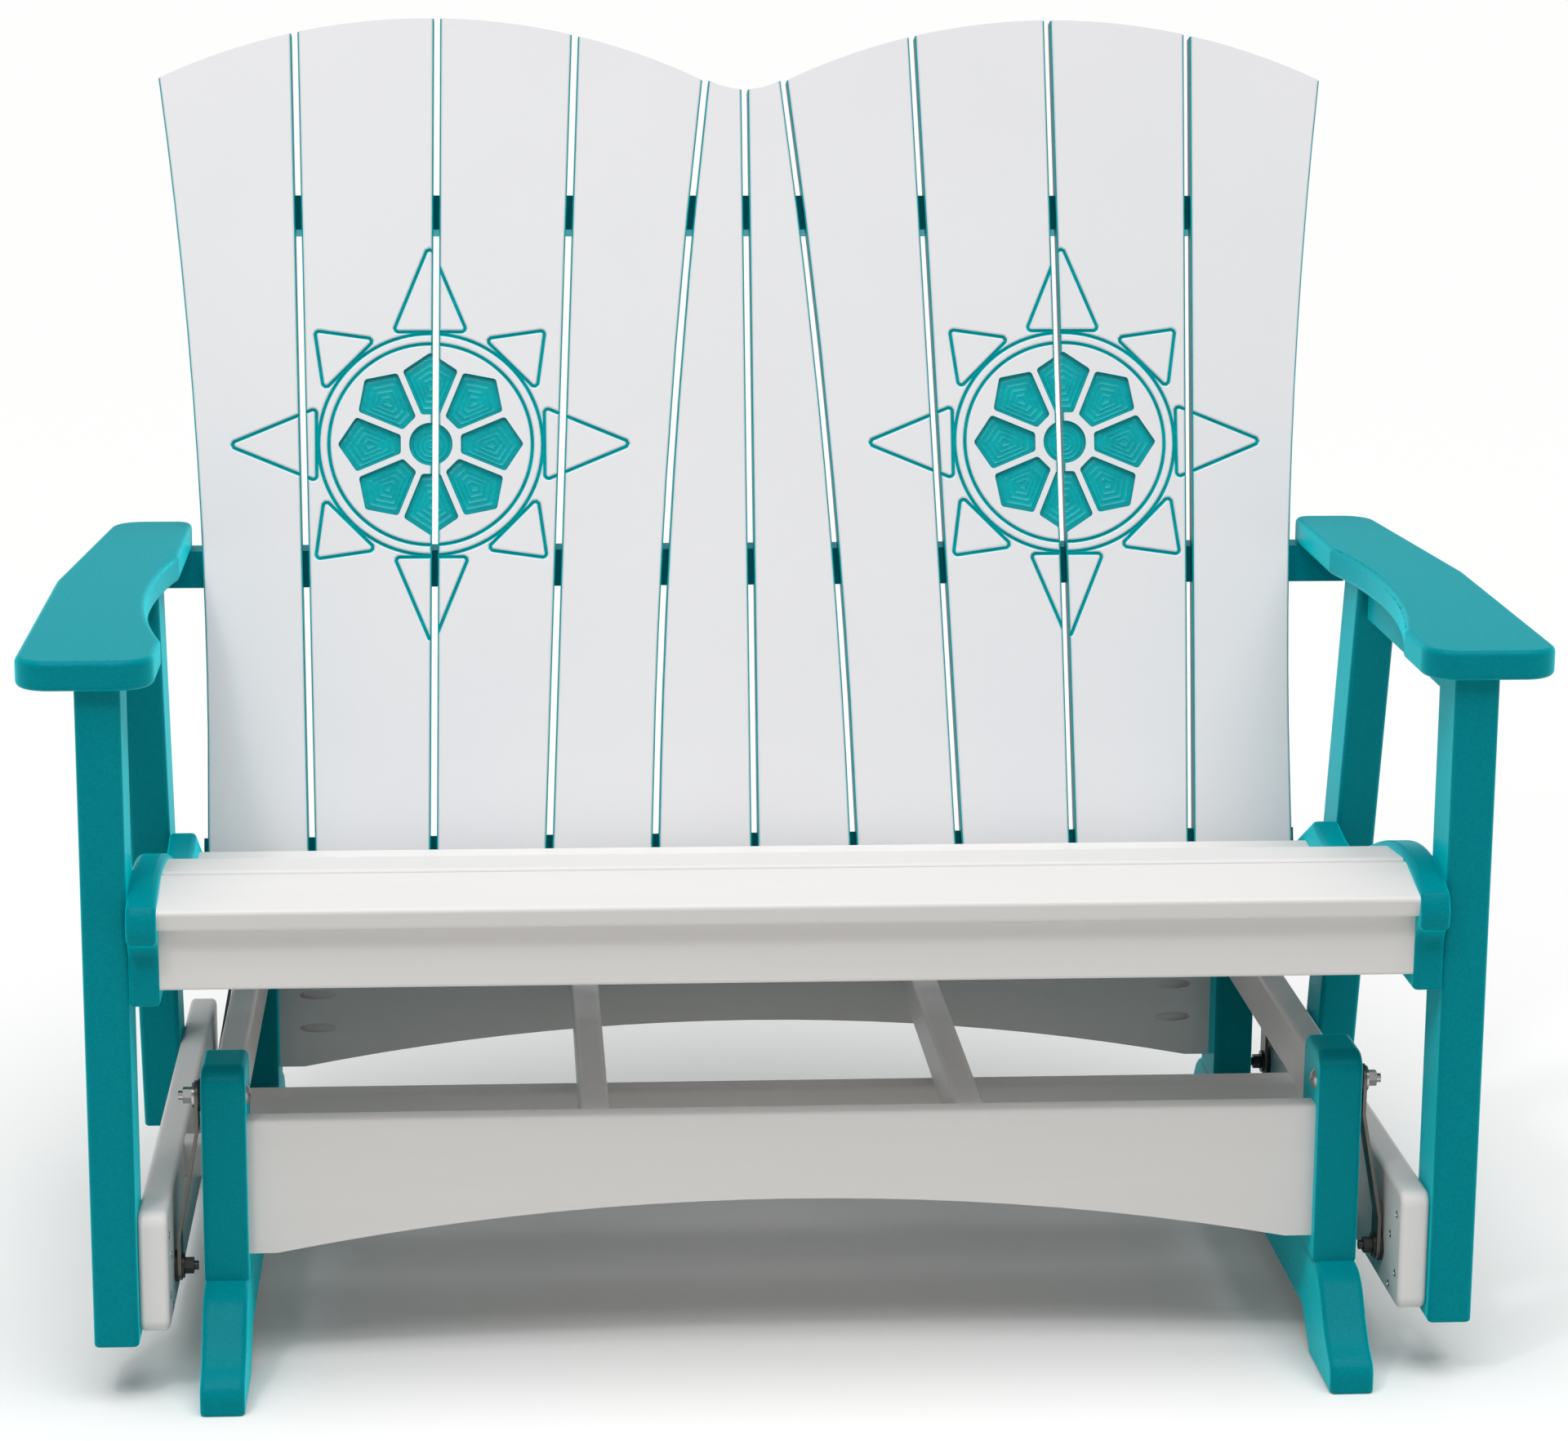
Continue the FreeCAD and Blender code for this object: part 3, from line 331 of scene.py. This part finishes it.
TEAL_BY_RUN = [teal_board(run) for run in range(3)]
WHITE_BOARD = white_board()
SKIN_LAYER, CORE_LAYER, ROUTED_PAINTED_LIGHT_LAYER = range(3)
SHEET_LAYERS = (sheet_skin(), sheet_core(), routed_core_painted_light())
LINK_STEEL = new_material("link_steel", (0.055, 0.055, 0.060), roughness=0.38, metallic=0.6)
# Painted highlight: brighter steel for the narrow edges of the straps.
LINK_EDGE_HIGHLIGHT = new_material("link_edge_painted_highlight", (0.16, 0.145, 0.13), roughness=0.40, metallic=0.9)
BOLT_STEEL = new_material("bolt_steel", (0.46, 0.45, 0.44), roughness=0.26, metallic=1.0)
# Painted shade for the lower pivot nuts and bolts.
PAINTED_SHADE_STEEL = new_material("painted_shade_steel", (0.045, 0.045, 0.045), roughness=0.36, metallic=0.7)
PAD_RUBBER = new_material("pad_rubber", (0.012, 0.012, 0.013), roughness=0.55)
SLOT_MATERIALS = {"white_poly": WHITE_BOARD, "link_steel": LINK_STEEL, "bolt_steel": BOLT_STEEL,
                  "pad_rubber": PAD_RUBBER}


# CAD pieces

def long_axis(node):
    low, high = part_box(node)
    size = high - low
    return max(range(3), key=lambda axis: size[axis])


def dress(node, slot):
    """Give a CAD node the material of its slot; teal boards take the grain of their long axis. The lower
    pivot nuts and bolts take a darker steel instead, as painted shade.
    """
    # painted shade: darker steel for the lower pivot pieces
    if node in PAINTED_SHADE_PIECES:
        material = PAINTED_SHADE_STEEL
    elif slot == "teal_poly":
        material = TEAL_BY_RUN[long_axis(node)]
    else:
        material = SLOT_MATERIALS[slot]
    mesh = nodes[node].data
    mesh.materials.clear()
    mesh.materials.append(material)
    # Painted highlight: the narrow edge faces of a strap take the brighter steel.
    if slot == "link_steel":
        mesh.materials.append(LINK_EDGE_HIGHLIGHT)
        for face in mesh.polygons:
            face.material_index = int(abs(face.normal.x) < LINK_EDGE_LIMIT)


# Rail screws

def screw_head(spot, way):
    """Domed head of a screw with a round recess, on a face that looks along X the given way."""
    mesh = bmesh.new()
    turns = [math.radians(360 / SCREW_STEPS * k) for k in range(SCREW_STEPS)]
    rings = []
    for radius, rise in SCREW_PROFILE:
        circle = [(radius * math.cos(turn), radius * math.sin(turn), rise) for turn in turns]
        rings.append([mesh.verts.new(place) for place in circle])
    for low, high in zip(rings, rings[1:]):
        for k in range(SCREW_STEPS):
            j = (k + 1) % SCREW_STEPS
            mesh.faces.new((low[k], low[j], high[j], high[k]))
    mesh.faces.new(rings[-1])
    mesh.faces.new(list(reversed(rings[0])))
    mesh.transform(Matrix.Translation(spot) @ Matrix.Rotation(math.radians(90) * way, 4, "Y"))
    bmesh.ops.recalc_face_normals(mesh, faces=mesh.faces)
    return mesh


def rail_screws():
    """Two zigzag pairs of screws that hold each rail to the arm post outside it."""
    for way, word in ((-1, "right"), (1, "left")):
        low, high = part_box("glide_rail_" + word)
        face = low.x if word == "right" else high.x
        for number, (back, up) in enumerate(SCREW_PLACES, 1):
            spot = Vector((face, low.y + back, low.z + up))
            head = finished_object("rail_screw_%d_%s" % (number, word), screw_head(spot, way))
            head.data.materials.append(BOLT_STEEL)
            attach(head, "glider")


# Cutters for the rosettes

class BackPlane:
    """Plane of the back.

    u runs across, v up the slope from the lower ends of the slats, and depth behind the front face.
    """

    def __init__(self, node):
        mesh = nodes[node].data
        normal = max(mesh.polygons, key=lambda polygon: polygon.area).normal.copy()
        self.rear = normal if normal.y > 0 else -normal
        self.up = Vector((0.0, -self.rear.z, self.rear.y))
        self.front = min(vertex.co.dot(self.rear) for vertex in mesh.vertices)
        self.back = max(vertex.co.dot(self.rear) for vertex in mesh.vertices)
        self.foot = min(vertex.co.dot(self.up) for vertex in mesh.vertices)

    def point(self, u, v, depth):
        return Vector((u, 0.0, 0.0)) + self.up * (v + self.foot) + self.rear * (depth + self.front)

    def depth(self, point):
        return point.dot(self.rear) - self.front


def polar(radius, angle):
    return Vector((radius * math.sin(angle), radius * math.cos(angle)))


def ring(radius):
    return [polar(radius, 2 * math.pi * k / RING_STEPS) for k in range(RING_STEPS)]


def rounded(corners):
    """Closed outline with each corner turned into a small arc."""
    outline = []
    for k, corner in enumerate(corners):
        before = (corners[k - 1] - corner).normalized()
        after = (corners[(k + 1) % len(corners)] - corner).normalized()
        half = before.angle(after) / 2
        middle = (before + after).normalized()
        centre = corner + middle * (CORNER_R / math.sin(half))
        start = corner + before * (CORNER_R / math.tan(half)) - centre
        end = corner + after * (CORNER_R / math.tan(half)) - centre
        for step in range(CORNER_STEPS + 1):
            share = step / CORNER_STEPS
            outline.append(centre + (start * (1 - share) + end * share).normalized() * CORNER_R)
    return outline


def petal(angle):
    """Kite-shaped cell of the rosette, narrow at the hub."""
    half = math.pi / PETALS
    inset = PETAL_RIB / 2
    along = polar(1.0, angle)
    across = polar(1.0, angle + math.pi / 2)
    side = []
    for radius in (PETAL_IN_R, PETAL_OUT_R * PETAL_SHOULDER):
        side.append(along * radius - across * (radius * math.tan(half) - inset / math.cos(half)))
    mirror = [along * point.dot(along) - across * point.dot(across) for point in reversed(side)]
    return rounded(side + [along * PETAL_OUT_R] + mirror)


def ray(angle, reach):
    """Outline of a pointed ray outside the rings."""
    half = RAY_SHARE * math.pi / PETALS
    return rounded([polar(RAY_ROOT_R, angle - half), polar(reach, angle), polar(RAY_ROOT_R, angle + half)])


def add_groove(mesh, plane, outline, centre):
    """V-groove along a closed outline."""
    flare = 0.5 * GROOVE_WIDTH * (1 + CUTTER_RISE / GROOVE_DEPTH)
    rows = []
    count = len(outline)
    for k in range(count):
        back = (outline[k] - outline[k - 1]).normalized()
        ahead = (outline[(k + 1) % count] - outline[k]).normalized()
        along = (back + ahead).normalized()
        side = Vector((along.y, -along.x)) * (flare / max(MITRE_LIMIT, along.dot(ahead)))
        row = []
        for offset, depth in ((side, -CUTTER_RISE), (-side, -CUTTER_RISE), (Vector((0, 0)), GROOVE_DEPTH)):
            spot = centre + outline[k] + offset
            row.append(mesh.verts.new(plane.point(spot.x, spot.y, depth)))
        rows.append(row)
    for k in range(count):
        row, following = rows[k], rows[(k + 1) % count]
        for i in range(3):
            j = (i + 1) % 3
            mesh.faces.new((row[i], row[j], following[j], following[i]))


def add_pocket(mesh, plane, outline, centre):
    """Pocket with upright walls and a floor that shows the ridges between the rounds of the cutter."""
    middle = sum(outline, Vector((0.0, 0.0))) / len(outline)
    rounds = [(1.0, -CUTTER_RISE), (1.0, POCKET_DEPTH)]
    for size in CUTTER_PASSES:
        rounds.append((size + RIDGE_HALF, POCKET_DEPTH))
        rounds.append((size, POCKET_DEPTH - RIDGE_RISE))
        rounds.append((size - RIDGE_HALF, POCKET_DEPTH))
    loops = []
    for size, depth in rounds:
        spots = [centre + middle + (spot - middle) * size for spot in outline]
        loops.append([mesh.verts.new(plane.point(spot.x, spot.y, depth)) for spot in spots])
    mesh.faces.new(loops[0])
    mesh.faces.new(list(reversed(loops[-1])))
    for outer, inner in zip(loops, loops[1:]):
        for k in range(len(outline)):
            j = (k + 1) % len(outline)
            mesh.faces.new((outer[j], outer[k], inner[k], inner[j]))


def rosette_cutter(plane, side):
    """Everything that is routed out of one fan, as one mesh."""
    mesh = bmesh.new()
    centre = Vector((side * MOTIF_U, MOTIF_V))
    add_pocket(mesh, plane, ring(HUB_R), centre)
    for k in range(PETALS):
        angle = 2 * math.pi * k / PETALS
        add_pocket(mesh, plane, petal(angle), centre)
        add_groove(mesh, plane, ray(angle, SHORT_RAY_R if k % 2 else LONG_RAY_R), centre)
    for radius in RING_RADII:
        add_groove(mesh, plane, ring(radius), centre)
    bmesh.ops.recalc_face_normals(mesh, faces=mesh.faces)
    return finished_object("rosette_cutter", mesh)


# Carved back

def closed_copy(node):
    """Mesh of a CAD node with its split corners joined again."""
    mesh = bmesh.new()
    mesh.from_mesh(nodes[node].data)
    bmesh.ops.remove_doubles(mesh, verts=mesh.verts, dist=JOIN_DISTANCE)
    bmesh.ops.dissolve_limit(mesh, angle_limit=FLAT_ANGLE, verts=mesh.verts, edges=mesh.edges)
    return mesh


def ease_sides(mesh, plane):
    """Bevel the two front edges that run up a slat."""
    sides = []
    for edge in mesh.edges:
        low, high = (vertex.co for vertex in edge.verts)
        climb = abs((high - low).normalized().dot(plane.up))
        if max(plane.depth(low), plane.depth(high)) < SKIN / 2 and climb > STEEP:
            sides.append(edge)
    bmesh.ops.bevel(mesh, geom=sides, offset=EASED_EDGE, offset_type="OFFSET", segments=1, profile=0.5,
                    affect="EDGES")


def subtract(piece, cutter):
    """Cut the cutter out of the piece for good."""
    modifier = piece.modifiers.new("carving", "BOOLEAN")
    modifier.object = cutter
    modifier.operation = "DIFFERENCE"
    modifier.solver = "EXACT"
    modifier.use_self = True
    graph = bpy.context.evaluated_depsgraph_get()
    carved = bpy.data.meshes.new_from_object(piece.evaluated_get(graph))
    piece.modifiers.clear()
    piece.data = carved


def colour_layers(piece, plane):
    """Part the skins from the core along the edges, then give each layer its material."""
    piece.data.materials.clear()
    for material in SHEET_LAYERS:
        piece.data.materials.append(material)
    mesh = bmesh.new()
    mesh.from_mesh(piece.data)
    thickness = plane.back - plane.front
    for depth in (SKIN, thickness - SKIN):
        geometry = mesh.verts[:] + mesh.edges[:] + mesh.faces[:]
        bmesh.ops.bisect_plane(mesh, geom=geometry, plane_co=plane.point(0, 0, depth), plane_no=plane.rear)
    for face in mesh.faces:
        depth = plane.depth(face.calc_center_median())
        facing = abs(face.normal.dot(plane.rear))
        if SKIN < depth < thickness - SKIN:
            # routed and eased faces take the brightened teal: painted light against the shade in the
            # grooves
            face.material_index = ROUTED_PAINTED_LIGHT_LAYER if facing > ROUTED_LIMIT else CORE_LAYER
        else:
            face.material_index = SKIN_LAYER
        face.smooth = facing < ROUTED_LIMIT   # walls only, so that the ridges stay crisp
    mesh.to_mesh(piece.data)
    mesh.free()
    # The normals that came with the CAD mesh do not fit the cut faces.
    piece.data.attributes.remove(piece.data.attributes["custom_normal"])
    piece.data.set_sharp_from_angle(angle=SMOOTH_ANGLE)


def sheet_slat(node, plane, cutter):
    """Slat of the back with its layers, and with the carving where it crosses the slat."""
    mesh = closed_copy(node)
    ease_sides(mesh, plane)
    piece = finished_object(node + "_carved", mesh)
    if cutter:
        subtract(piece, cutter)
    colour_layers(piece, plane)
    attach(piece, "glider")
    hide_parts(node)


def carved_back():
    plane = BackPlane("fan_slat_2_right")
    for side, word in ((-1, "left"), (1, "right")):
        cutter = rosette_cutter(plane, side)
        for number in range(1, FAN_SLATS + 1):
            sheet_slat("fan_slat_%d_%s" % (number, word), plane, cutter)
        sheet_slat("centre_slat_" + word, plane, None)
        bpy.data.objects.remove(cutter)


# Stage

def world_light():
    world = bpy.data.worlds.new("studio")
    world.use_nodes = True
    background = world.node_tree.nodes["Background"]
    background.inputs["Color"].default_value = (1.0, 1.0, 1.0, 1.0)
    background.inputs["Strength"].default_value = WORLD_LIGHT
    bpy.context.scene.world = world


def floor_and_backdrop():
    mesh = bmesh.new()
    bmesh.ops.create_grid(mesh, x_segments=1, y_segments=1, size=FLOOR_HALF)
    floor = finished_object("floor", mesh)
    floor.data.materials.append(floor_paper())
    mesh = bmesh.new()
    lift = Matrix.Translation((0.0, 0.0, BACKDROP_HEIGHT / 2))
    bmesh.ops.create_cone(mesh, cap_ends=False, segments=BACKDROP_SIDES, radius1=BACKDROP_R,
                          radius2=BACKDROP_R, depth=BACKDROP_HEIGHT, matrix=lift)
    backdrop = finished_object("backdrop", mesh)
    backdrop.data.materials.append(backdrop_paper())


def ceiling():
    """Broad light from above; its tilt is from the zenith, its turn from the front towards the right."""
    data = bpy.data.lights.new("ceiling", "SUN")
    data.energy = CEILING_STRENGTH
    data.angle = CEILING_SOFTNESS
    lamp = new_object("ceiling", data)
    lamp.rotation_euler = (CEILING_TILT, 0.0, CEILING_TURN)


def key_light():
    """Small softbox at the upper left in front."""
    data = bpy.data.lights.new("key", "AREA")
    data.size = KEY_SIZE
    data.energy = KEY_POWER
    lamp = new_object("key", data)
    lamp.location = KEY_PLACE
    lamp.rotation_mode = "QUATERNION"
    lamp.rotation_quaternion = (KEY_TARGET - KEY_PLACE).to_track_quat("-Z", "Y")


def camera():
    data = bpy.data.cameras.new("camera")
    data.lens = LENS
    data.sensor_width = SENSOR
    data.clip_end = VIEW_END
    forward = Vector((math.sin(YAW) * math.cos(PITCH), math.cos(YAW) * math.cos(PITCH), -math.sin(PITCH)))
    right = Vector((math.cos(YAW), -math.sin(YAW), 0.0))
    up = right.cross(forward)
    rolled_right = right * math.cos(ROLL) + up * math.sin(ROLL)
    rolled_up = up * math.cos(ROLL) - right * math.sin(ROLL)
    turn = Matrix((rolled_right, rolled_up, -forward)).transposed()
    made = new_object("camera", data)
    made.matrix_world = Matrix.Translation(EYE) @ turn.to_4x4()
    bpy.context.scene.camera = made


for subpart in frame["record"]["subparts"]:
    if subpart["material_slot"] != "back_sheet":
        dress(subpart["node"], subpart["material_slot"])
rail_screws()
carved_back()
bpy.context.scene.view_settings.view_transform = "Standard"
world_light()
floor_and_backdrop()
ceiling()
key_light()
camera()
